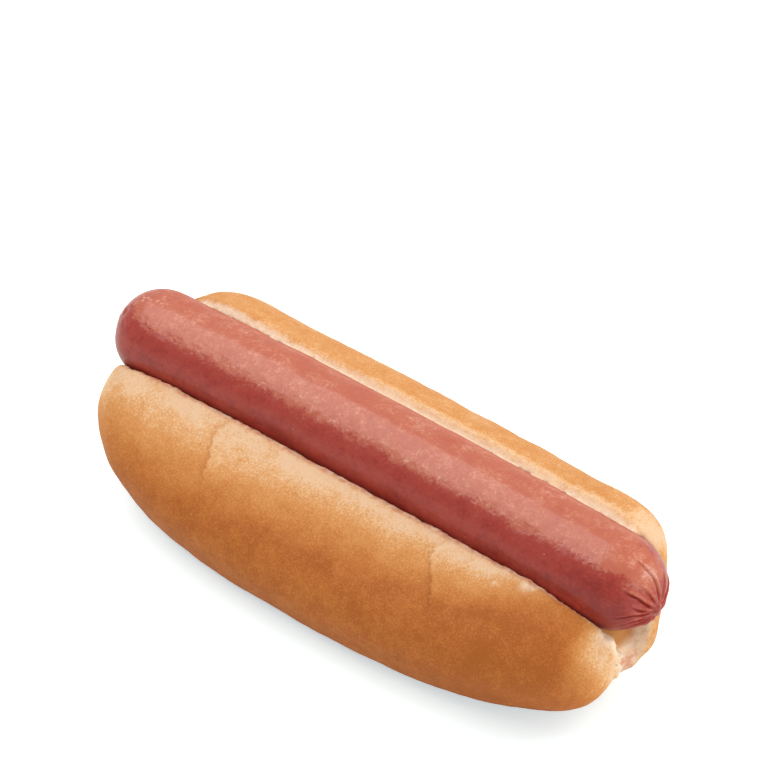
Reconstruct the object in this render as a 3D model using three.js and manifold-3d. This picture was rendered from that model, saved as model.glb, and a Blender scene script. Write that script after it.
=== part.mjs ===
// Hot dog: a side-sliced bun opened into a V, with a frankfurter wedged in the slit.
// Millimetres, +Z up. The bun runs along X: its domed crown half leans out on the -Y side,
// its flatter heel half stands nearly upright on the +Y side, and the crumb joins them below.
// The origin ends up under the middle of the whole, on the surface that it rests on.

import * as THREE from 'three';
import { mergeVertices } from 'three/addons/utils/BufferGeometryUtils.js';
import Module from 'manifold-3d';

// ---------- driving dimensions ----------

const SAUSAGE = {
  radius: 11.3,
  halfLength: 80.9,
  midX: -2.8,
  axisHeight: 33.3,
  bow: 1.5, // the middle stands this far off the line of the ends, up and towards the heel
  bowAngle: 45,
  capLength: { left: 11, right: 13.2 },
  capPower: { left: 2.1, right: 2.2 },
  folds: 12, // casing folds gathered round each tip
  foldDepth: 0.07, // as a share of the local radius
  foldReach: 15,
  nippleRadius: 1.5,
  nippleLength: 1.2,
};

// Each half is a loaf shape standing on its cut face: rise is measured up the cut face from its
// foot (y, z), bulge out from it, and lean is the angle of the cut face from upright.
const CROWN = {
  side: -1,
  foot: { y: -2.5, z: 5 },
  lean: 21.9,
  rise: 29.9,
  bulge: 28.7,
  lip: 1.8, // how far the soft cut face swells back into the slit
  midX: -2.7,
  reach: { left: 76.9, right: 76 },
  roundness: { rise: 2.89, bulge: 2.25, cut: 3.2 },
  shoulder: { left: 11, right: 8.4 }, // power of the upper edge's drop towards each end
  keel: { left: 5.4, right: 8.5 }, // and of the lower edge's lift
  plump: { left: 3.1, right: 1.95 }, // and of the bulge's taper
  plumpRoot: { left: 1.96, right: 3.3 },
  middle: 0.53, // where on the cut face the ends close
  spread: -0.014, // the foot reaches this share further along X than the lip
  swells: [{ x: -52, width: 12, height: -0.6 }],
};

const HEEL = {
  side: 1,
  foot: { y: -0.2, z: 1.4 },
  lean: 14.1,
  rise: 41.5,
  bulge: 18.4,
  lip: 1.5,
  midX: -4.6,
  reach: { left: 74, right: 76.3 },
  roundness: { rise: 3.03, bulge: 2.8, cut: 3.2 },
  shoulder: { left: 15, right: 14 },
  keel: { left: 8, right: 8.7 },
  plump: { left: 11.8, right: 8.1 },
  plumpRoot: { left: 1.8, right: 1.4 },
  middle: 0.48,
  spread: 0.044,
  swells: [{ x: -60, width: 9, height: 0.6 }, { x: 42, width: 13, height: -0.7 }],
};

// Wrinkles of the crown's crust where it was bent open: x at the lip, slant along X by the time
// they fade, depth, width, and how far round the crust they run (radians of the section).
const CREASES = [
  { x: -39, slant: 5.5, depth: 0.9, width: 1.7, fade: 1 },
  { x: 27.5, slant: 5, depth: 0.9, width: 1.5, fade: 1 },
];

const LIP_TURN = 0.15; // the soft lip itself stays whole up to here round the section

const HINGE = {
  top: 21.5, // crumb left uncut below the sausage
  endHeight: 9, // height at which its ends close
  left: -73,
  right: 70,
  endPower: 6,
  levels: 5, // steps up each side of its section
  overlap: 2, // how far the crumb runs into each half
  footSpread: 9, // and how much further it flares just above the table
  footHeight: 4.5,
};

const FLAT_DEPTH = 1.2; // the crumb's foot runs this far into the table before it is cut flat
const TABLE = { length: 400, width: 200, depth: 100, top: 0.6 }; // what flattens the underside
const CLEARANCE = 0.3; // between the sausage and the bread that it presses into

const CRUST_COLOUR = 0xd28d4e;
const CASING_COLOUR = 0xb2554c;

// ---------- small helpers ----------

const wasm = await Module();
wasm.setup();

const radians = THREE.MathUtils.degToRad;

function signedPower(value, power) {
  return Math.sign(value) * Math.abs(value) ** power;
}

function taper(share, power, root) {
  return Math.max(0, 1 - Math.abs(share) ** power) ** (1 / root);
}

function fade(from, to, value) {
  return 1 - THREE.MathUtils.smoothstep(value, from, to);
}

// Even steps of angle put the stations closer together towards both ends.
function stations(count) {
  return Array.from({ length: count }, (_, i) => Math.sin((i / (count - 1) - 0.5) * Math.PI));
}

// A closed skin over rings of equal length, strung along X. The first and last ring close on one
// point each, and rings that run clockwise, seen from +X, are turned round to face outwards.
function loft(strung) {
  const middleRing = strung[Math.floor(strung.length / 2)];
  const turns = THREE.ShapeUtils.area(middleRing.map((point) => new THREE.Vector2(point.y, point.z)));
  const rings = turns > 0 ? strung : strung.map((ring) => [...ring].reverse());
  const around = rings[0].length;
  const first = rings[0][0];
  const last = rings[rings.length - 1][0];
  const inner = rings.slice(1, -1);
  const points = [first, ...inner.flat(), last];
  const index = [];
  const at = (ring, step) => 1 + ring * around + (step % around);
  for (let step = 0; step < around; step++) {
    index.push(0, at(0, step + 1), at(0, step));
    for (let ring = 0; ring < inner.length - 1; ring++) {
      index.push(at(ring, step), at(ring, step + 1), at(ring + 1, step + 1));
      index.push(at(ring, step), at(ring + 1, step + 1), at(ring + 1, step));
    }
    index.push(points.length - 1, at(inner.length - 1, step), at(inner.length - 1, step + 1));
  }
  const geometry = new THREE.BufferGeometry().setFromPoints(points);
  geometry.setIndex(index);
  return geometry;
}

function toSolid(geometry) {
  const bare = geometry.clone();
  bare.deleteAttribute('normal');
  bare.deleteAttribute('uv');
  const merged = mergeVertices(bare, 1e-4);
  return new wasm.Manifold(new wasm.Mesh({
    numProp: 3,
    vertProperties: new Float32Array(merged.attributes.position.array),
    triVerts: new Uint32Array(merged.index.array),
  }));
}

function toGeometry(solid) {
  const mesh = solid.getMesh();
  const geometry = new THREE.BufferGeometry();
  geometry.setAttribute('position', new THREE.BufferAttribute(mesh.vertProperties, 3));
  geometry.setIndex(new THREE.BufferAttribute(mesh.triVerts, 1));
  geometry.computeVertexNormals();
  return geometry;
}

// ---------- frankfurter ----------

function capRadius(fromTip, length, power) {
  return Math.max(0, 1 - Math.max(0, 1 - fromTip / length) ** power) ** 0.5;
}

// How deep the gathered casing is pulled in at one place round the tip: each fold has its own
// depth and length, and runs out along the body.
function foldAt(angle, fromTip) {
  const turn = (angle / (2 * Math.PI)) * SAUSAGE.folds;
  const fold = Math.round(turn) % SAUSAGE.folds;
  const own = 0.7 + 0.3 * Math.sin(fold * 2.4);
  const valley = Math.cos((turn - Math.round(turn)) * Math.PI) ** 4;
  return SAUSAGE.foldDepth * own * valley * fade(0.15, own, fromTip / SAUSAGE.foldReach);
}

function sausageRing(share, grow, around) {
  const { halfLength, radius, midX, axisHeight, bow, bowAngle } = SAUSAGE;
  const end = share < 0 ? 'left' : 'right';
  const reach = halfLength + grow;
  const fromTip = reach * (1 - Math.abs(share));
  const body = (radius + grow) * capRadius(
    fromTip - SAUSAGE.nippleLength, SAUSAGE.capLength[end], SAUSAGE.capPower[end]);
  const nipple = SAUSAGE.nippleRadius * Math.min(1, fromTip / SAUSAGE.nippleLength) ** 0.5;
  const off = -bow * share * share;
  const offY = off * Math.cos(radians(bowAngle));
  const offZ = off * Math.sin(radians(bowAngle));
  return Array.from({ length: around }, (_, i) => {
    const angle = (i / around) * 2 * Math.PI;
    const pulled = grow > 0 ? 0 : foldAt(angle, fromTip);
    const r = fromTip <= 0 ? 0 : Math.max(nipple, body * (1 - pulled));
    return new THREE.Vector3(
      midX + reach * share,
      offY + r * Math.cos(angle),
      axisHeight + offZ + r * Math.sin(angle));
  });
}

function sausageSkin({ grow, count, around }) {
  return loft(stations(count).map((share) => sausageRing(share, grow, around)));
}

// ---------- bun ----------

function creaseAt(x, turn) {
  let depth = 0;
  for (const crease of CREASES) {
    const centre = crease.x + crease.slant * turn;
    const across = (x - centre) / crease.width;
    const along = fade(0.4, 1, turn / crease.fade) * Math.min(1, turn / LIP_TURN);
    depth += crease.depth * Math.exp(-across * across) * along;
  }
  return depth;
}

// A loaf never rises quite evenly, so its upper edge swells and dips a little.
function swellAt(half, share) {
  const x = half.midX + half.reach.right * share;
  return half.swells.reduce(
    (sum, swell) => sum + swell.height * Math.exp(-(((x - swell.x) / swell.width) ** 2)), 0);
}

// Height of a half's lower edge up its cut face, which lifts towards the ends.
function lowerEdge(half, share) {
  const end = share < 0 ? 'left' : 'right';
  return half.rise * half.middle * (1 - taper(share, half.keel[end], 2));
}

// One ring round a half at its share of the way from the middle to the end.
function halfRing(half, share, { crust, cut, creased }) {
  const end = share < 0 ? 'left' : 'right';
  const { rise, bulge, lip, lean, side, foot, roundness, middle, spread } = half;
  const upperEdge = rise * (middle + (1 - middle) * taper(share, half.shoulder[end], 2));
  const top = upperEdge + swellAt(half, share);
  const bottom = lowerEdge(half, share);
  const out = taper(share, half.plump[end], half.plumpRoot[end]);
  const sinLean = Math.sin(radians(lean));
  const cosLean = Math.cos(radians(lean));
  const place = (turn, depth) => {
    const height = signedPower(Math.cos(turn), 2 / roundness.rise);
    const up = (top + bottom) / 2 + ((top - bottom) / 2) * height;
    const x = half.midX + half.reach[end] * share * (1 + spread * (0.5 - up / rise));
    const relief = creased && depth > 0 ? creaseAt(x, turn) : 0;
    const away = depth - relief;
    return new THREE.Vector3(
      x,
      foot.y + side * (up * sinLean + away * cosLean),
      foot.z + up * cosLean - away * sinLean);
  };
  const ring = [];
  for (let i = 0; i < crust; i++) {
    const turn = (i / crust) * Math.PI;
    ring.push(place(turn, bulge * out * Math.sin(turn) ** (2 / roundness.bulge)));
  }
  for (let i = 0; i < cut; i++) {
    const turn = (1 - i / cut) * Math.PI;
    ring.push(place(turn, -lip * out * Math.sin(turn) ** (2 / roundness.cut)));
  }
  return ring;
}

function halfSkin(half, { count, crust, cut, creased = false }) {
  const shares = stations(count);
  if (creased) {
    for (const { x, slant, width } of CREASES) {
      for (let at = x - 2 * width; at < x + slant + width; at += width * 0.7) {
        shares.push((at - half.midX) / half.reach.right);
      }
    }
  }
  const sorted = shares.sort((a, b) => a - b);
  return loft(sorted.map((share) => halfRing(half, share, { crust, cut, creased })));
}

// The crumb left uncut between the halves, from the table up to the sausage. Its underside lifts
// towards the ends as the crown's does.
function hingeRing(share) {
  const { top, endHeight, left, right, endPower, levels, overlap, footSpread, footHeight } = HINGE;
  const x = (left + right) / 2 + ((right - left) / 2) * share;
  const full = taper(share, endPower, 2);
  const end = x < CROWN.midX ? 'left' : 'right';
  const crownShare = (x - CROWN.midX) / CROWN.reach[end];
  const lift = lowerEdge(CROWN, crownShare) - FLAT_DEPTH;
  const low = endHeight - (endHeight - lift) * full;
  const high = endHeight + (top - endHeight) * full;
  const edge = (half, level) => {
    const z = low + (high - low) * level;
    const flare = footSpread * full * fade(0, footHeight, z - low) ** 2;
    const lean = (z - half.foot.z) * Math.tan(radians(half.lean));
    return new THREE.Vector3(x, half.foot.y + half.side * (lean + (overlap + flare) * full), z);
  };
  const ring = [];
  for (let i = 0; i <= levels; i++) {
    ring.push(edge(HEEL, 1 - i / levels));
  }
  for (let i = 0; i <= levels; i++) {
    ring.push(edge(CROWN, i / levels));
  }
  return ring;
}

function bunSolid() {
  const crown = toSolid(halfSkin(CROWN, { count: 44, crust: 26, cut: 7, creased: true }));
  const heel = toSolid(halfSkin(HEEL, { count: 44, crust: 24, cut: 7 }));
  const hinge = toSolid(loft(stations(30).map(hingeRing)));
  const channel = toSolid(sausageSkin({ grow: CLEARANCE, count: 40, around: 36 }));
  const table = new THREE.BoxGeometry(TABLE.length, TABLE.width, TABLE.depth);
  table.translate(0, 0, TABLE.top - TABLE.depth / 2);
  return crown.add(heel).add(hinge).subtract(channel).subtract(toSolid(table));
}

// ---------- the hot dog ----------

const bunGeometry = toGeometry(bunSolid());
const sausageGeometry = toGeometry(toSolid(sausageSkin({ grow: 0, count: 44, around: 48 })));

const whole = new THREE.Box3()
  .setFromBufferAttribute(bunGeometry.attributes.position)
  .union(new THREE.Box3().setFromBufferAttribute(sausageGeometry.attributes.position));
const middle = whole.getCenter(new THREE.Vector3());

const bun = new THREE.Mesh(bunGeometry, new THREE.MeshStandardMaterial({
  color: CRUST_COLOUR, roughness: 0.75, metalness: 0,
}));
bun.name = 'bun';

const sausage = new THREE.Mesh(sausageGeometry, new THREE.MeshStandardMaterial({
  color: CASING_COLOUR, roughness: 0.38, metalness: 0,
}));
sausage.name = 'sausage';

for (const mesh of [bun, sausage]) {
  mesh.position.set(-middle.x, -middle.y, -whole.min.z);
}

const hotDog = new THREE.Group();
hotDog.add(bun, sausage);

export default hotDog;
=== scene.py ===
import math

import bpy
import numpy as np
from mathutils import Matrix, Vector


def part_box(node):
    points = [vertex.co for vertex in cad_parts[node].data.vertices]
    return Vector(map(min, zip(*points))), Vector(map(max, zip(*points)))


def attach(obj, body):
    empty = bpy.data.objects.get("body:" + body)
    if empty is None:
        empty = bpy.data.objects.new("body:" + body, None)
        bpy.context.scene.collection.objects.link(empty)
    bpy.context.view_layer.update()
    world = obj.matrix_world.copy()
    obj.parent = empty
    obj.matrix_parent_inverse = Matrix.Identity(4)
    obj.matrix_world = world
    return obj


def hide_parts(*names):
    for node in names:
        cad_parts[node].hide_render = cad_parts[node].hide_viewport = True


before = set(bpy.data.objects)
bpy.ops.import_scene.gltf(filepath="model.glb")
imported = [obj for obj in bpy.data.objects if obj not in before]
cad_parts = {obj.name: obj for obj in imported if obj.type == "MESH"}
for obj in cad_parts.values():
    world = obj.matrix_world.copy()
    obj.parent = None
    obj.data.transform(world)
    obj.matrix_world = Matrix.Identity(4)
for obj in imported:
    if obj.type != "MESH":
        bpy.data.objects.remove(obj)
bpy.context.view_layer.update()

mm = 0.001
print("frame loaded")


def deselectAll():
    if bpy.context.mode != 'OBJECT':
        bpy.ops.object.mode_set(mode='OBJECT')
    bpy.ops.object.select_all(action='DESELECT')


def pick(piece):
    deselectAll()
    piece.select_set(True)
    bpy.context.view_layer.objects.active = piece


def spotsOf(piece):
    # every vertex, one row each, in millimetres
    flat = np.empty(len(piece.data.vertices) * 3)
    piece.data.vertices.foreach_get("co", flat)
    return flat.reshape(-1, 3) / mm


def selectOnly(piece, chosen, kind='VERT'):
    # leaves the piece in edit mode with just these vertices, edges or faces selected
    pick(piece)
    bpy.ops.object.mode_set(mode='EDIT')
    bpy.ops.mesh.select_mode(type=kind)
    bpy.ops.mesh.select_all(action='DESELECT')
    bpy.ops.object.mode_set(mode='OBJECT')
    parts = dict(VERT=piece.data.vertices, EDGE=piece.data.edges, FACE=piece.data.polygons)[kind]
    parts.foreach_set("select", np.asarray(chosen, dtype=bool))
    bpy.ops.object.mode_set(mode='EDIT')


def applyModifier(piece, kind, weights=None, **settings):
    # weights, one a vertex, say how strongly the modifier acts there
    pick(piece)
    modifier = piece.modifiers.new(kind.title(), kind)
    for name, value in settings.items():
        setattr(modifier, name, value)
    if weights is not None:
        group = piece.vertex_groups.new(name="reach")
        levels = np.round(np.clip(weights, 0, 1) * 50).astype(int)
        for level in range(1, 51):
            members = np.nonzero(levels == level)[0].tolist()
            if members:
                group.add(members, level / 50, 'REPLACE')
        modifier.vertex_group = group.name
    bpy.ops.object.modifier_apply(modifier=modifier.name)
    piece.vertex_groups.clear()


def smoothStep(low, high, values):
    share = np.clip((values - low) / (high - low), 0, 1)
    return share * share * (3 - 2 * share)


def bell(values, width):
    return np.exp(-(values / width) ** 2)


def swell(piece, heights):
    # moves each vertex along its normal by its own height in millimetres
    for side in (1, -1):
        most = (side * heights).max()
        if most > 0:
            applyModifier(piece, 'DISPLACE', side * heights / most, direction='NORMAL', mid_level=0.0,
                          strength=side * most * mm)


def roughen(piece, weights, depth, size, detail=2):
    # rolling lumps of the given size and overall depth in millimetres
    texture = bpy.data.textures.new("lumps", 'CLOUDS')
    texture.noise_scale = size * mm
    texture.noise_depth = detail
    applyModifier(piece, 'DISPLACE', weights, texture=texture, texture_coords='LOCAL', direction='NORMAL',
                  mid_level=0.5, strength=depth * mm)


def paintAttribute(piece, name, values):
    layer = piece.data.attributes.new(name, 'FLOAT', 'POINT')
    layer.data.foreach_set("value", np.clip(values, 0, 1).astype(np.float32))


def toLinear(hexColour):
    channels = [int(hexColour[i:i + 2], 16) / 255 for i in (0, 2, 4)]
    linear = [c / 12.92 if c <= 0.04045 else ((c + 0.055) / 1.055) ** 2.4 for c in channels]
    return (*linear, 1.0)


def addNode(tree, kind, settings=None, inputs=None):
    # inputs holds a plain value, or the output socket that feeds that input
    node = tree.nodes.new(kind)
    for name, value in (settings or {}).items():
        setattr(node, name, value)
    for name, value in (inputs or {}).items():
        if isinstance(value, bpy.types.NodeSocket):
            tree.links.new(value, node.inputs[name])
        else:
            node.inputs[name].default_value = value
    return node


def addRamp(tree, factor, stops):
    ramp = addNode(tree, 'ShaderNodeValToRGB', inputs={0: factor})
    while len(ramp.color_ramp.elements) < len(stops):
        ramp.color_ramp.elements.new(1.0)
    for element, (place, colour) in zip(ramp.color_ramp.elements, stops):
        element.position = place
        element.color = toLinear(colour) if isinstance(colour, str) else (colour, colour, colour, 1.0)
    return ramp.outputs['Color']


def addNoise(tree, place, size, detail, roughness=0.6):
    return addNode(tree, 'ShaderNodeTexNoise', inputs={
        'Vector': place, 'Scale': 1000 / size, 'Detail': detail, 'Roughness': roughness}).outputs['Fac']


def addSpread(tree, base, noises):
    # base plus every noise, each one centred and scaled to its own spread
    total = base
    for noise, spread in noises:
        part = addNode(tree, 'ShaderNodeMapRange', inputs={
            'Value': noise, 'From Min': 0.3, 'From Max': 0.7, 'To Min': -spread, 'To Max': spread})
        total = addNode(tree, 'ShaderNodeMath', dict(operation='ADD'), {
            0: total, 1: part.outputs['Result']}).outputs[0]
    return total


def addBlend(tree, factor, first, second):
    return addNode(tree, 'ShaderNodeMix', dict(data_type='RGBA'), {
        'Factor': factor, 'A': first, 'B': second}).outputs['Result']


def addAttribute(tree, name):
    return addNode(tree, 'ShaderNodeAttribute', dict(attribute_name=name)).outputs['Fac']


def newMaterial(name):
    material = bpy.data.materials.new(name)
    material.use_nodes = True
    material.node_tree.nodes.clear()
    return material, material.node_tree


casingLook = dict(
    # from the moist sides to the dry top; the casing's painted light and shade run along it too
    colours=[(0.0, "8A261F"), (0.25, "A3372B"), (0.42, "A63F31"), (0.56, "B75F49"), (0.75, "BC664D"),
             (0.88, "C67A60"), (1.0, "D49482")],
    puckerColour="8C3A2C",
    creaseShadeColour="74201A",
    glintColour="E4B09A",   # painted glints on the wrinkled casing
    speckColour="E0A48E",
    pitColour="7E2A24",
    mottleSize=6.0,         # mm
    blotchSize=1.8,         # mm
    grainSize=0.6,          # mm
    glintSize=1.1,          # mm
    wrinkleSize=2.8,        # mm
    wrinkleDepth=0.36,      # mm
    speckSpacing=2.6,       # mm
    roughness=0.45,
    shine=0.35,             # of the film where it is moist
)


def frankfurterCasing():
    # smoked frankfurter in a thin casing: deep pink and faintly see-through, with a moist film that shines
    look = casingLook
    material, tree = newMaterial("smokedFrankfurterCasing")
    place = addNode(tree, 'ShaderNodeTexCoord').outputs['Object']
    shade = addSpread(tree, addAttribute(tree, "drynessLightAndShade"), [
        (addNoise(tree, place, look['mottleSize'], 4.0), 0.12),
        (addNoise(tree, place, look['blotchSize'], 2.0), 0.09),
        (addNoise(tree, place, look['grainSize'], 2.0), 0.1)])
    colour = addRamp(tree, shade, look['colours'])
    colour = addBlend(tree, addAttribute(tree, "pucker"), colour, toLinear(look['puckerColour']))
    # painted shade in the creases of the gathered ends
    colour = addBlend(tree, addAttribute(tree, "creaseShade"), colour, toLinear(look['creaseShadeColour']))
    # painted glints, in specks of the noise
    glintSpecks = addRamp(tree, addNoise(tree, place, look['glintSize'], 3.0), [(0.56, 0.0), (0.66, 1.0)])
    glintAmount = addNode(tree, 'ShaderNodeMath', dict(operation='MULTIPLY'), {
        0: glintSpecks, 1: addAttribute(tree, "paintedGlints")})
    colour = addBlend(tree, glintAmount.outputs[0], colour, toLinear(look['glintColour']))
    specks = addNode(tree, 'ShaderNodeTexVoronoi', inputs={
        'Vector': place, 'Scale': 1000 / look['speckSpacing']})
    chance = addNode(tree, 'ShaderNodeSeparateColor', inputs={'Color': specks.outputs['Color']})
    near = addRamp(tree, specks.outputs['Distance'], [(0.04, 1.0), (0.08, 0.0)])
    for name, channel, most in (("speckColour", 'Red', 0.6), ("pitColour", 'Green', 0.5)):
        rare = addRamp(tree, chance.outputs[channel], [(0.75, 0.0), (0.9, most)])
        amount = addNode(tree, 'ShaderNodeMath', dict(operation='MULTIPLY'), {0: near, 1: rare}).outputs[0]
        colour = addBlend(tree, amount, colour, toLinear(look[name]))

    wrinkles = addNode(tree, 'ShaderNodeBump', inputs={
        'Strength': addAttribute(tree, "wrinkled"), 'Distance': look['wrinkleDepth'] * mm,
        'Height': addNoise(tree, place, look['wrinkleSize'], 3.0)}).outputs['Normal']
    shine = addNode(tree, 'ShaderNodeMath', dict(operation='MULTIPLY'), {
        0: addAttribute(tree, "moist"), 1: look['shine']}).outputs[0]
    casing = addNode(tree, 'ShaderNodeBsdfPrincipled', inputs={
        'Base Color': colour, 'Roughness': look['roughness'], 'IOR': 1.42, 'Specular IOR Level': shine,
        'Subsurface Weight': 0.15, 'Subsurface Radius': (1.0, 0.3, 0.2), 'Subsurface Scale': 1.2 * mm,
        'Coat Weight': shine, 'Coat Roughness': 0.12, 'Coat IOR': 1.45,
        'Normal': wrinkles, 'Coat Normal': wrinkles})
    addNode(tree, 'ShaderNodeOutputMaterial', inputs={'Surface': casing.outputs['BSDF']})
    return material


# in millimetres
sausageShape = dict(
    radius=11.3,
    capLength={-1: 11.2, 1: 13.4},
    capPower={-1: 2.1, 1: 2.2},
    capRings=24,
    columns=160,
    bodyRings=60,
    bow=1.5,             # how far the middle stands off the line between the ends
    bowTurn=45,          # degrees from level, towards the heel
    nippleLength=0.8,
    nippleRadius=1.05,
    nippleShift={-1: (0, 0), 1: (-0.9, -0.5)},
    shortOfBox=1.0,      # the right end stops this much short of the solid's
    sectionY=5.3,        # centre of the bent section, midway between its middle's and its ends'
    sectionZ=32.2,
    dryFrom=32.4,        # height that the drying is measured from
    nippleY=3.9,         # where the right nipple lies after bending, the left one is near it
    nippleZ=31.1,
    # creases of the gathered casing: degrees round the end at the nipple and at the far end,
    # reach from the nipple, depth
    creases={
        1: [(25, 50, 10.0, 0.35), (60, 74, 7.0, 0.25), (97, 95, 9.2, 0.5), (118, 119, 7.0, 0.4),
            (128, 140, 9.2, 0.5), (146, 158, 9.0, 0.4), (158, 173, 8.8, 0.45), (170, 186, 9.4, 0.4),
            (186, 200, 8.4, 0.3), (205, 214, 7.2, 0.4), (235, 240, 7.0, 0.35), (262, 262, 8.0, 0.4),
            (290, 296, 7.0, 0.35), (325, 330, 8.5, 0.4), (352, 364, 7.0, 0.3)],
        -1: [(20, 24, 4.5, 0.3), (65, 60, 4.0, 0.35), (110, 118, 4.8, 0.3), (150, 150, 4.0, 0.35),
             (200, 210, 5.0, 0.3), (245, 240, 4.2, 0.35), (290, 300, 4.8, 0.3), (330, 326, 4.0, 0.3)],
    },
)


def closeEnd(sausage, side, axis):
    # draws one flat end out ring by ring into a dome with a small gathered nipple
    shape = sausageShape
    length = shape['capLength'][side]
    nipple, tip = shape['nippleRadius'], shape['nippleLength']
    rings = []
    for ring in range(1, shape['capRings']):
        fromTip = length * (1 - math.sin(math.pi / 2 * ring / shape['capRings']))
        share = 1 - fromTip / length
        rings.append((fromTip, shape['radius'] * (1 - share ** shape['capPower'][side]) ** (1 / 2.1)))
    rings = [ring for ring in rings if ring[1] > nipple * 1.9]
    rings += [(0.05, nipple * 1.5), (-0.15 * tip, nipple * 1.15), (-0.5 * tip, nipple * 0.95),
              (-0.8 * tip, nipple * 0.75), (-0.97 * tip, nipple * 0.4)]
    spots = spotsOf(sausage)
    selectOnly(sausage, side * spots[:, 0] > (side * spots[:, 0]).max() - 0.01)
    place, previous, shifted = length, shape['radius'], 0
    centre = Vector(axis)
    for fromTip, radius in rings:
        share = 1 - min(1, max(0, fromTip) / 2)
        sideways = [(share - shifted) * part for part in shape['nippleShift'][side]]
        move = Vector((side * (place - fromTip), *sideways)) * mm
        bpy.ops.mesh.extrude_region_move(TRANSFORM_OT_translate=dict(value=move))
        centre += move
        scale = radius / previous
        bpy.ops.transform.resize(value=(1, scale, scale), center_override=centre)
        place, previous, shifted = fromTip, radius, share
    bpy.ops.mesh.extrude_region_move(TRANSFORM_OT_translate=dict(value=(side * 0.03 * tip * mm, 0, 0)))
    bpy.ops.mesh.merge(type='CENTER')
    bpy.ops.object.mode_set(mode='OBJECT')


def gatherCreases(sausage, side, axis):
    # draws the casing in along lines that run together at the nipple, each with a low ridge above it
    shape = sausageShape
    spots = spotsOf(sausage)
    fromTip = (spots[:, 0] * side).max() - shape['nippleLength'] - spots[:, 0] * side
    share = 1 - np.clip(fromTip / 2, 0, 1)
    across = spots[:, 1] - axis[1] / mm - share * shape['nippleShift'][side][0]
    up = spots[:, 2] - axis[2] / mm - share * shape['nippleShift'][side][1]
    radius = np.hypot(across, up)
    angle = np.degrees(np.arctan2(up, across))
    heights = np.zeros(len(spots))
    for start, end, reach, depth in shape['creases'][side]:
        line = start + (end - start) * np.clip(radius / reach, 0, 1)
        aside = np.radians((angle - line + 180) % 360 - 180) * radius
        along = smoothStep(0.9, 1.9, radius) * (1 - smoothStep(0.75 * reach, 1.1 * reach, radius))
        along *= (fromTip < 12)
        heights += depth * along * (0.7 * bell(aside + 0.6, 0.42) - 1.3 * bell(aside, 0.27))
    heights *= smoothStep(-0.1, 0.4, fromTip)
    swell(sausage, heights)
    return heights


def bendSausage(sausage, axis, length):
    # bends it in its own level plane, then turns that plane up
    shape = sausageShape
    pick(sausage)
    bpy.context.scene.cursor.location = axis
    bpy.ops.object.origin_set(type='ORIGIN_CURSOR')
    applyModifier(sausage, 'SIMPLE_DEFORM', deform_method='BEND', deform_axis='Z',
                  angle=-8 * shape['bow'] / length)  # of an arc that rises by the bow
    sausage.rotation_euler = (math.radians(shape['bowTurn']), 0, 0)
    bpy.ops.object.transform_apply(location=True, rotation=True, scale=True)
    bpy.context.scene.cursor.location = (0, 0, 0)


def finishCasing(sausage, gathered):
    # wrinkles the skin, then paints its dryness together with painted light and shade, where it is moist,
    # its painted glints and its pucker
    shape = sausageShape
    roughen(sausage, None, 0.5, 12)
    x, y, z = spotsOf(sausage).T
    # degrees round the sausage: 0 faces the heel, 90 is the top, 180 faces the crown
    sideways = np.degrees(np.arctan2(z - shape['sectionZ'], y - shape['sectionY']))
    wrinkled = smoothStep(112, 124, sideways) * (1 - smoothStep(138, 160, sideways))
    crinkled = bell(x + 72, 5) * bell(sideways - 98, 24)  # over the shoulder of the left end
    roughen(sausage, 0.12 + 0.88 * wrinkled, 0.55, 3.4, 3)
    roughen(sausage, crinkled, 0.6, 1.6, 3)
    # a nick on top of the left end, and a flatter spot low on the right one
    swell(sausage, -0.35 * bell(x + 75.6, 0.7) * bell(y + 0.4, 0.9) * (z > 32)
          - 0.6 * bell(x - 75.5, 5) * bell(y - 0.5, 5) * bell(z - 24.5, 5))
    height = (z - shape['dryFrom']) / shape['radius']
    # the right cap painted paler, partly a drier cap and partly a painted highlight
    capDriedAndHighlit = smoothStep(70, 77, x) * smoothStep(0.2, 0.75, height)
    driedAndLitTop = np.maximum(smoothStep(0.55, 0.88, height), capDriedAndHighlit)
    # paler towards the top, partly drier casing and partly painted light; the cap's top and the end beyond
    # it paler as a painted highlight on a drier cap; the crease ridges paler as painted highlights; the
    # lowest part, by the crown's lip, paler as painted fill light; the lower right darker as painted
    # shade; the top of the left end darker
    paintAttribute(sausage, "drynessLightAndShade", 0.13 + 0.12 * smoothStep(0, 0.4, height) + 0.5 * driedAndLitTop
                   + 0.35 * capDriedAndHighlit * driedAndLitTop
                   + 0.24 * smoothStep(75, 78, x)
                   + 0.2 * np.clip(gathered / 0.2, 0, 1)
                   + 0.3 * (1 - smoothStep(-0.25, 0.1, height)) * (1 - smoothStep(60, 70, np.abs(x)))
                   - 0.12 * smoothStep(50, 64, x) * (1 - driedAndLitTop)
                   - 0.2 * bell(x + 78, 9) * smoothStep(0.5, 0.9, height))
    # less moist on the heel's side, all but its right end
    moist = np.maximum(smoothStep(55, 85, np.abs(sideways)), smoothStep(64, 72, x))
    paintAttribute(sausage, "moist", 0.3 + 0.7 * moist)
    paintAttribute(sausage, "wrinkled", np.maximum(0.15 + 0.85 * wrinkled, crinkled))
    # painted glints over the left end's shoulder and along the lower edge of the highlight band
    glintsAlongBand = 0.35 * bell(sideways - 129, 7) * (np.abs(x) < 70)
    paintAttribute(sausage, "paintedGlints", np.maximum(0.8 * crinkled, glintsAlongBand))
    fromNipple = np.hypot(y - shape['nippleY'], z - shape['nippleZ'])
    paintAttribute(sausage, "pucker", 0.5 * bell(fromNipple, 1.3) * (np.abs(x) > 77))


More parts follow.
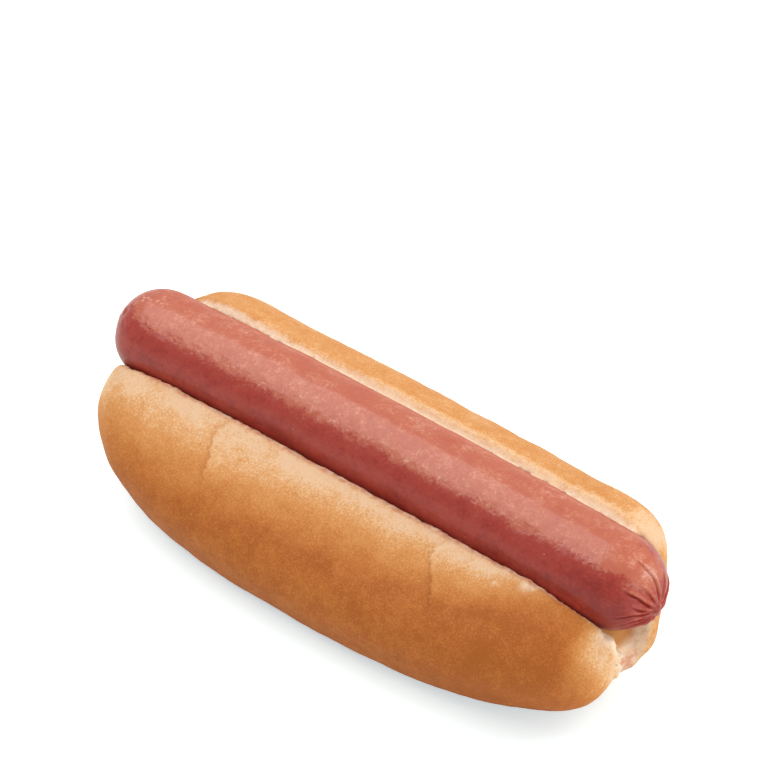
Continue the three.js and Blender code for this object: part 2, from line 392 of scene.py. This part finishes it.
def makeSausage():
    shape = sausageShape
    low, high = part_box("sausage")
    ends = sum(shape['capLength'].values()) + 2 * shape['nippleLength'] + shape['shortOfBox']
    bodyLength = (high[0] - low[0]) - ends * mm
    middleX = low[0] + (shape['nippleLength'] + shape['capLength'][-1]) * mm + bodyLength / 2
    axis = (middleX, high[1] - shape['radius'] * mm, high[2] - shape['radius'] * mm)
    deselectAll()
    bpy.ops.mesh.primitive_cylinder_add(vertices=shape['columns'], radius=shape['radius'] * mm,
                                        depth=bodyLength, location=axis, rotation=(0, math.pi / 2, 0))
    sausage = bpy.context.active_object
    sausage.name = "frankfurter"
    bpy.ops.object.transform_apply(location=True, rotation=True, scale=True)
    for side in (1, -1):
        closeEnd(sausage, side, axis)

    edges = np.array([edge.vertices[:] for edge in sausage.data.edges])
    spots = spotsOf(sausage)
    lengthwise = np.abs(spots[edges[:, 0], 0] - spots[edges[:, 1], 0]) > bodyLength / mm * 0.9
    selectOnly(sausage, lengthwise, 'EDGE')
    bpy.ops.mesh.subdivide(number_cuts=shape['bodyRings'])
    bpy.ops.mesh.select_all(action='SELECT')
    bpy.ops.mesh.normals_make_consistent(inside=False)
    bpy.ops.object.mode_set(mode='OBJECT')
    applyModifier(sausage, 'SUBSURF', levels=1, render_levels=1)
    gathered = gatherCreases(sausage, 1, axis) + gatherCreases(sausage, -1, axis)
    # painted shade in the creases of the gathered ends
    paintAttribute(sausage, "creaseShade", 0.35 * np.clip(-gathered / 0.5, 0, 1))
    print("sausage ends gathered")

    bendSausage(sausage, axis, (high[0] - low[0]) / mm)
    finishCasing(sausage, gathered)
    print("sausage bent and its casing painted")

    sausage.data.materials.append(frankfurterCasing())
    pick(sausage)
    bpy.ops.object.shade_smooth()
    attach(sausage, "root")
    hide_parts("sausage")
    return sausage


sausagePiece = makeSausage()
print("sausage", sum(len(face.vertices) - 2 for face in sausagePiece.data.polygons), "triangles")


breadLook = dict(
    crustColours=[(0.0, "E5BE97"), (0.14, "DFAA75"), (0.32, "D59456"), (0.51, "CC8543"), (0.7, "C07432"),
                  (0.9, "B66626"), (1.0, "A85A1C")],
    crumbColours=[(0.3, "EAC8A4"), (0.7, "F7E4CA")],
    tipShadeColour="DC9C5C",   # painted warm shade on the inner face of the hinge under the sausage's tip
    stainAndLipShadeColour="C97C58",       # lip of the cut, stained by the sausage and darkened as painted shade against it; also the hinge's stain
    fleckColour="F0C890",
    poreColour="A86A34",
    unevenSize=7.0,           # mm, patches that the oven browned more
    mottleSize=2.0,           # mm
    grainSize=0.45,           # mm
    poreSize=0.7,             # mm
    poreDepth=0.2,            # mm
    mottleDepth=0.25,         # mm
    roughness=0.6,
)


def bakedBread():
    # soft wheat bread: a dry satin crust that the oven browned unevenly, paler at the cut,
    # and an open matt crumb inside
    look = breadLook
    material, tree = newMaterial("bakedWheatBread")
    place = addNode(tree, 'ShaderNodeTexCoord').outputs['Object']
    mottle = addNoise(tree, place, look['mottleSize'], 4.0)
    grain = addNoise(tree, place, look['grainSize'], 2.0)
    pores = addNoise(tree, place, look['poreSize'], 3.0, 0.7)
    shade = addSpread(tree, addAttribute(tree, "browning"), [
        (addNoise(tree, place, look['unevenSize'], 2.0), 0.09), (mottle, 0.065), (grain, 0.18)])
    colour = addRamp(tree, shade, look['crustColours'])
    paleFlecks = addRamp(tree, grain, [(0.64, 0.0), (0.78, 0.3)])
    colour = addBlend(tree, paleFlecks, colour, toLinear(look['fleckColour']))
    darkPores = addRamp(tree, pores, [(0.27, 0.35), (0.38, 0.0)])
    colour = addBlend(tree, darkPores, colour, toLinear(look['poreColour']))
    # crumb, with painted warm shade under the sausage's tip
    crumbColour = addBlend(tree, addAttribute(tree, "shadeUnderTip"), addRamp(tree, pores, look['crumbColours']),
                           toLinear(look['tipShadeColour']))
    colour = addBlend(tree, addAttribute(tree, "crumb"), colour, crumbColour)
    patchy = addRamp(tree, mottle, [(0.38, 0.3), (0.6, 1.0)])
    # stains, with painted shade along the crown's lip against the sausage
    stainAndLipShade = addNode(tree, 'ShaderNodeMath', dict(operation='MULTIPLY'), {
        0: addAttribute(tree, "stainAndLipShade"), 1: patchy})
    colour = addBlend(tree, stainAndLipShade.outputs[0], colour, toLinear(look['stainAndLipShadeColour']))

    fine = addNode(tree, 'ShaderNodeBump', inputs={
        'Strength': 0.7, 'Distance': look['poreDepth'] * mm, 'Height': pores})
    coarse = addNode(tree, 'ShaderNodeBump', inputs={
        'Strength': 0.6, 'Distance': look['mottleDepth'] * mm, 'Height': mottle,
        'Normal': fine.outputs['Normal']})
    bread = addNode(tree, 'ShaderNodeBsdfPrincipled', inputs={
        'Base Color': colour, 'Roughness': look['roughness'], 'IOR': 1.45, 'Specular IOR Level': 0.3,
        'Subsurface Weight': 0.08, 'Subsurface Radius': (1.0, 0.5, 0.25),
        'Subsurface Scale': 1.2 * mm, 'Normal': coarse.outputs['Normal']})
    addNode(tree, 'ShaderNodeOutputMaterial', inputs={'Surface': bread.outputs['BSDF']})
    return material


# all in millimetres; the cut faces of the slit start at the hinge and lean out from upright
bunShape = dict(
    crownCut=dict(footY=3.33, footZ=4.4, lean=21.9, side=-1),
    heelCut=dict(footY=5.63, footZ=0.8, lean=14.1, side=1),
    voxel=0.7,
    smoothing=16,        # passes
    scallopDepth=0.6,    # of the torn edge at the right end
    scallopSpacing=3.3,
    # axis of the sausage in the slit: where its middle lies, and how far its ends lie below that
    # and towards the crown
    nest=dict(y=5.83, z=32.7, drop=1.06, halfLength=80.9),
    # how the crown browns away from its lip: x, depth where that starts, depth that it takes
    crownBrowning=[(-60, 3.5, 18.5), (-40, 4, 18.5), (-20, 3.2, 18), (0, 2.5, 16.7), (20, 2.4, 13.7),
                   (42, 2.5, 11), (56, -4, 12.5), (64, -13, 21)],
    # width of the pale crumb that shows along the heel's lip: x, width
    heelPale=[(-66, -1.5), (-50, -0.6), (-20, 0.6), (0, 1.6), (20, 1.8), (45, 1.6), (60, 2.5),
              (67, 2), (72, 0.5)],
    # folds of the crust: points (x, depth from the cut), how far the right side stands up and the
    # left one sinks, and how much the left side is painted darker and the right side paler, partly
    # browning and partly painted shade and light
    crownFolds=[
        dict(path=[(-34.6, 0), (-36, 3.3), (-36.1, 5.1), (-35.1, 7.6), (-33.4, 10.5), (-32.4, 13.9),
                   (-30.8, 17.2), (-30.4, 20.5)], raised=0.35, lowered=0.25, shadeAndBrowning=0.15),
        dict(path=[(31, 0), (29.5, 3.4), (29.2, 4.1), (29.8, 6.1), (31.2, 8.1), (33.3, 10.5), (34.8, 13),
                   (36.2, 15.1), (37.4, 18)], raised=0.35, lowered=0.25, shadeAndBrowning=0.15),
        dict(path=[(39.9, 0), (38.4, 1.6), (38.1, 4.1)], raised=0.25, lowered=0.15, shadeAndBrowning=0.05),
        dict(path=[(-54.5, 0), (-56, 2.1), (-56.2, 5)], raised=0.15, lowered=0.2, shadeAndBrowning=0.05),
    ],
    heelFolds=[
        dict(path=[(-48.5, -1), (-47.5, 0), (-47.5, 2.5)], raised=0.25, lowered=0.3, shadeAndBrowning=0.1),
        dict(path=[(46.9, -1), (45.5, 0), (44, 1.4)], raised=0.4, lowered=0.15, shadeAndBrowning=0.1),
        dict(path=[(60, -1), (60.2, 2.5), (62, 6)], raised=0.2, lowered=0.1, shadeAndBrowning=0.08),
    ],
    # small swellings and dents: x, y, z, width, height
    swellings=[
        (52.8, -8.6, 31.6, 1.3, 0.9),
        (54.6, -8.2, 31.2, 0.8, -0.7),
        (46.5, -11.5, 30.5, 0.5, 0.3),
        (31.2, -8.2, 32, 0.9, -0.6),
        (75.5, -5, 23, 3.0, 0.7),
        (76, -3.2, 16, 3.2, -1.3),
        (73.8, -10.4, 10.8, 4.0, 0.3),
        (60, -21, 7, 12.0, -0.85),
        (74.5, 10.5, 12, 4.0, 0.6),
        (73, 3.5, 8, 3.0, -1.5),
        (64, 24, 33.5, 8.0, 0.65),
        (-12, 25.8, 36.8, 9.0, 0.4),
        (-49, 25.5, 37.5, 4.0, -0.25),
        (-59, 24, 38.2, 4.0, 0.35),
        (-68, 18, 38, 3.0, -0.3),
        (-60, -23, 14.2, 4.5, 0.4),
        (-69, -17.3, 22.2, 4.0, -0.35),
        (-72.4, -6.5, 28.8, 2.5, 0.7),
        (-72, -11.5, 26, 3.5, -0.5),
    ],
    # the heel's back edge is fuller along this line: y, z, width, height
    heelCrest=(25.8, 36.8, 7, 0.25),
    # spots on the crown's lip where the crust is chipped off: x, y, z, width
    chips=[(53.1, -8.7, 31.5, 1.2), (54.4, -8.1, 31.4, 0.8), (46.5, -11.5, 30.5, 0.5)],
)


def depthFromCut(spots, cut):
    # how far outside a cut face each spot lies
    lean = math.radians(cut['lean'])
    out = cut['side'] * (spots[:, 1] - cut['footY'])
    return out * math.cos(lean) - (spots[:, 2] - cut['footZ']) * math.sin(lean)


def depthsFromCuts(spots):
    # the crown's first, then the heel's
    return depthFromCut(spots, bunShape['crownCut']), depthFromCut(spots, bunShape['heelCut'])


def fromFold(spots, depth, path):
    # distance to the right of the slightly crooked fold, and how fully the spot lies along it
    across = spots[:, 0] - np.interp(depth, [point[1] for point in path], [point[0] for point in path])
    across += 0.2 * np.sin(2.3 * depth) + 0.12 * np.sin(5.1 * depth)
    first, last = path[0][1], path[-1][1]
    fading = last - 0.35 * (last - first)
    return across, smoothStep(first - 1.5, first + 0.3, depth) * (1 - smoothStep(fading, last, depth))


def refineBun(bun):
    # finer mesh along the lips of the slit, down the folds and on the torn end
    shape = bunShape
    centres = np.array([face.center for face in bun.data.polygons]) / mm
    x, z = centres[:, 0], centres[:, 2]
    crownOut, heelOut = depthsFromCuts(centres)
    fine = (np.abs(crownOut - 0.5) < 1.5) & (z > 24) | (np.abs(heelOut - 0.2) < 1.4) & (z > 34)
    fine |= (x > 71) & (np.abs(crownOut - 0.5) < 2.5)
    for out, folds in ((crownOut, shape['crownFolds']), (heelOut, shape['heelFolds'])):
        for fold in folds:
            across, along = fromFold(centres, out, fold['path'])
            fine |= (np.abs(across) < 1.8) & (along > 0.05) & (z > 12)
    selectOnly(bun, fine, 'FACE')
    bpy.ops.mesh.subdivide(number_cuts=1)
    bpy.ops.object.mode_set(mode='OBJECT')


def copyBun():
    # the solid's own form with an even fine skin
    shape = bunShape
    pick(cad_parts["bun"])
    bpy.ops.object.duplicate()
    bun = bpy.context.active_object
    bun.name = "splitBun"
    bun.parent = None
    bpy.ops.object.mode_set(mode='EDIT')
    bpy.ops.mesh.select_all(action='SELECT')
    bpy.ops.mesh.remove_doubles(threshold=0.001 * mm)
    bpy.ops.object.mode_set(mode='OBJECT')
    applyModifier(bun, 'REMESH', mode='VOXEL', voxel_size=shape['voxel'] * mm)
    applyModifier(bun, 'SMOOTH', factor=0.5, iterations=shape['smoothing'])
    refineBun(bun)
    return bun


def shapeCrust(bun):
    # folds, swellings and the torn end, then the roughness of crust and crumb
    shape = bunShape
    spots = spotsOf(bun)
    x, y, z = spots.T
    crownOut, heelOut = depthsFromCuts(spots)
    out = np.maximum(crownOut, heelOut)
    clear = smoothStep(0.6, 4, z)  # keeps the flat base on the table
    inside = 1 - smoothStep(-0.6, 0.6, out)
    heights = np.zeros(len(spots))
    for depth, folds in ((crownOut, shape['crownFolds']), (heelOut, shape['heelFolds'])):
        for fold in folds:
            across, along = fromFold(spots, depth, fold['path'])
            step = smoothStep(-0.35, 0.35, across)
            up = fold['raised'] * np.exp(-np.maximum(across, 0) / 5) * step
            down = fold['lowered'] * np.exp(np.minimum(across, 0) / 2.5) * (1 - step)
            heights += (up - down - 0.08 * bell(across, 0.4)) * along
    for placeX, placeY, placeZ, width, height in shape['swellings']:
        heights += height * bell(np.hypot(np.hypot(x - placeX, y - placeY), z - placeZ), width)
    crestY, crestZ, width, height = shape['heelCrest']
    heights += height * bell(np.hypot(y - crestY, z - crestZ), width) * smoothStep(-42, -34, x)
    scallops = smoothStep(70, 73, x) * bell(crownOut - 0.2, 1.3)
    uneven = z + 0.8 * np.sin(0.7 * z)  # so that the scallops differ in width
    heights += shape['scallopDepth'] * scallops * np.sin(2 * math.pi * uneven / shape['scallopSpacing'])
    swell(bun, heights * clear)
    roughen(bun, clear, 0.8, 15)                                # the whole loaf
    roughen(bun, clear * (1 - inside), 0.16, 2.6, 3)            # crust
    roughen(bun, clear * bell(out - 0.1, 0.9), 0.5, 1.7, 3)     # ragged edge of the lips
    roughen(bun, clear * bell(out - 0.1, 1.5), 0.6, 5)          # the lips' wavy line
    roughen(bun, clear * inside, 0.7, 2.4, 4)                   # open crumb
    wrinkled = 0.5 * smoothStep(-10, 5, x) + 0.5 * smoothStep(36, 40, x)
    wrinkled *= (1 - smoothStep(58, 62, x)) * bell(heelOut - 1.5, 2)
    roughen(bun, clear * wrinkled, 0.9, 2.2, 3)                 # the heel's lip
    roughen(bun, clear * smoothStep(69, 73, x) * bell(crownOut - 0.5, 2.2), 0.8, 2.2)  # torn end


def nestleCrumb(bun, sausage):
    # draws the crumb up to the sausage, on the crown's side only well below the lip
    nest = bunShape['nest']
    spots = spotsOf(bun)
    x, y, z = spots.T
    crownOut, heelOut = depthsFromCuts(spots)
    sag = nest['drop'] * (x / nest['halfLength']) ** 2
    gap = np.hypot(y - nest['y'] + sag, z - nest['z'] + sag) - sausageShape['radius']
    touching = (1 - smoothStep(1.5, 2.3, gap)) * (1 - smoothStep(64, 68, -x))
    touching *= 1 - smoothStep(67, 70.5, x)
    touching *= (np.maximum(crownOut, heelOut) < 0.8)
    touching *= np.where(crownOut > heelOut, 1 - smoothStep(27.5, 29.5, z), 1)
    applyModifier(bun, 'SHRINKWRAP', touching, target=sausage, wrap_method='NEAREST_SURFACEPOINT',
                  wrap_mode='OUTSIDE_SURFACE', offset=0.03 * mm)


def paintBread(bun):
    # browning of the crust with painted shade and light at the folds, then bare crumb, the stained lip
    # with its painted shade, the hinge's stain and painted shade under the tip
    shape = bunShape
    spots = spotsOf(bun)
    x, y, z = spots.T
    crownOut, heelOut = depthsFromCuts(spots)
    places, starts, reaches = zip(*shape['crownBrowning'])
    crownBrown = np.clip((crownOut - np.interp(x, places, starts)) / np.interp(x, places, reaches), 0, 1)
    crownBrown *= np.interp(x, (32, 52), (0.9, 1))
    places, widths = zip(*shape['heelPale'])
    heelBrown = (0.34 * smoothStep(-1.2, 1.4, heelOut - np.interp(x, places, widths))
                 + 0.3 * smoothStep(10, 18, heelOut))
    heelBrown *= 1 - smoothStep(58, 63, x) * (1 - smoothStep(68, 71, x)) * (1 - smoothStep(7, 12, heelOut))
    # each fold's left side darker and its right side paler: partly browning and partly painted shade and
    # light
    for brown, depth, folds in ((crownBrown, crownOut, shape['crownFolds']),
                                (heelBrown, heelOut, shape['heelFolds'])):
        for fold in folds:
            across, along = fromFold(spots, depth, fold['path'])
            step = smoothStep(-0.35, 0.35, across)
            darker = (1 - step) * np.exp(np.minimum(across, 0) / 2.5)
            paler = step * np.exp(-np.maximum(across, 0) / 4)
            brown += fold['shadeAndBrowning'] * along * (darker - paler)  # in crownBrown or heelBrown itself
    crownBrown *= 1 - 0.9 * smoothStep(67, 73, x) * (1 - smoothStep(2, 18, crownOut))
    onCrown = crownOut > heelOut
    paintAttribute(bun, "browning", np.where(onCrown, crownBrown, heelBrown))
    inside = 1 - smoothStep(-0.7, 0.3, np.maximum(crownOut, heelOut))
    bare = np.maximum(inside, smoothStep(70.5, 73.5, x) * (1 - smoothStep(0.5, 2.5, crownOut)) * onCrown)
    for placeX, placeY, placeZ, width in shape['chips']:
        bare = np.maximum(bare, bell(np.hypot(np.hypot(x - placeX, y - placeY), z - placeZ), width))
    paintAttribute(bun, "crumb", bare)
    # painted shade at the crown's lip against the sausage, together with its stain
    lip = smoothStep(-3, -0.8, crownOut) * (1 - smoothStep(-0.2, 0.9, crownOut)) * smoothStep(20, 26, z)
    hingeStain = (x > 64) * (1 - smoothStep(11.5, 14, z)) * (1 - smoothStep(-2, -1, crownOut)) * inside
    paintAttribute(bun, "stainAndLipShade", 0.8 * lip * (x < 66) + 0.75 * hingeStain)
    # painted warm shade on the hinge's inner face under the sausage's tip
    hingeRoof = smoothStep(12, 15, z) * (z < 24) * (crownOut < -2.5)
    paintAttribute(bun, "shadeUnderTip", smoothStep(56, 62, x) * (1 - smoothStep(69, 71.5, x)) * hingeRoof)


def makeBun(sausage):
    bun = copyBun()
    print("bun remeshed")
    shapeCrust(bun)
    nestleCrumb(bun, sausage)
    print("crust and crumb shaped")
    paintBread(bun)
    bun.data.materials.clear()
    bun.data.materials.append(bakedBread())
    pick(bun)
    bpy.ops.object.shade_smooth()
    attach(bun, "root")
    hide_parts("bun")
    return bun


bunPiece = makeBun(sausagePiece)
print("bun", sum(len(face.vertices) - 2 for face in bunPiece.data.polygons), "triangles")


studio = dict(
    tableSize=6.0,
    tableDrop=0.1 * mm,         # below the bun's flat base
    tableColour="F3F7F2",
    tableEven=0.12,             # share of it seen evenly lit, which keeps its shadows faint
    tableGlow=4.35,
    tableGlowColour="E4F8FF",   # takes the warmth of the bread out of the shadows
    roomStrength=0.5,
    # aimed lamps face the middle of the table, the other one faces straight down; glints says
    # whether the lamp shows as a reflection
    lamps=dict(
        overheadSoftbox=dict(place=(-0.6, -0.165, 1.0), size=(0.72, 1.23), power=9.8,
                             aimed=False, glints=True),
        backSoftbox=dict(place=(0.47, 0.68, 0.65), size=(0.75, 0.75), power=5,
                         aimed=True, glints=False),
        sideSoftbox=dict(place=(1.0, -0.15, 0.25), size=(0.9, 0.7), power=4.2,
                         aimed=True, glints=True),
    ),
    target=(0.0028, 0.0058, 0.0184),
    azimuth=40.06,
    elevation=40.26,
    distance=0.794,
    lens=160.5,
    aim=(-0.01035, 0.01809, 0.03947),
)


def makeStudio():
    deselectAll()
    bpy.ops.mesh.primitive_plane_add(size=studio['tableSize'], location=(0, 0, -studio['tableDrop']))
    table = bpy.context.active_object
    table.name = "paleTable"
    material, tree = newMaterial("matteWhiteLaminate")  # even white sheet, no shine
    sheet = addNode(tree, 'ShaderNodeBsdfDiffuse', inputs={'Color': toLinear(studio['tableColour'])})
    even = addNode(tree, 'ShaderNodeEmission', inputs={
        'Color': toLinear(studio['tableGlowColour']), 'Strength': studio['tableGlow']})
    seen = addNode(tree, 'ShaderNodeLightPath').outputs['Is Camera Ray']
    share = addNode(tree, 'ShaderNodeMath', dict(operation='MULTIPLY'), {0: seen, 1: studio['tableEven']})
    both = addNode(tree, 'ShaderNodeMixShader', inputs={
        0: share.outputs[0], 1: sheet.outputs[0], 2: even.outputs[0]})
    addNode(tree, 'ShaderNodeOutputMaterial', inputs={'Surface': both.outputs[0]})
    table.data.materials.append(material)

    for name, box in studio['lamps'].items():
        bpy.ops.object.light_add(type='AREA', location=box['place'])
        lamp = bpy.context.active_object
        lamp.name = name
        lamp.data.shape = 'RECTANGLE'
        lamp.data.size, lamp.data.size_y = box['size']
        lamp.data.energy = box['power']
        lamp.visible_glossy = box['glints']
        if box['aimed']:
            lamp.rotation_euler = (-Vector(box['place'])).to_track_quat('-Z', 'Y').to_euler()

    world = bpy.data.worlds.new("whiteRoom")
    world.use_nodes = True
    world.node_tree.nodes["Background"].inputs['Color'].default_value = (1, 1, 1, 1)
    world.node_tree.nodes["Background"].inputs['Strength'].default_value = studio['roomStrength']
    bpy.context.scene.world = world

    azimuth = math.radians(studio['azimuth'])
    elevation = math.radians(studio['elevation'])
    back = Vector((math.sin(azimuth) * math.cos(elevation), -math.cos(azimuth) * math.cos(elevation),
                   math.sin(elevation)))
    place = Vector(studio['target']) + back * studio['distance']
    bpy.ops.object.camera_add(location=place)
    camera = bpy.context.active_object
    camera.data.lens = studio['lens']
    camera.data.sensor_width = 36
    camera.data.clip_start = 0.01
    camera.rotation_euler = (Vector(studio['aim']) - place).to_track_quat('-Z', 'Y').to_euler()
    bpy.context.scene.camera = camera
    bpy.context.scene.view_settings.view_transform = 'Standard'


makeStudio()
print("table, light and camera placed")
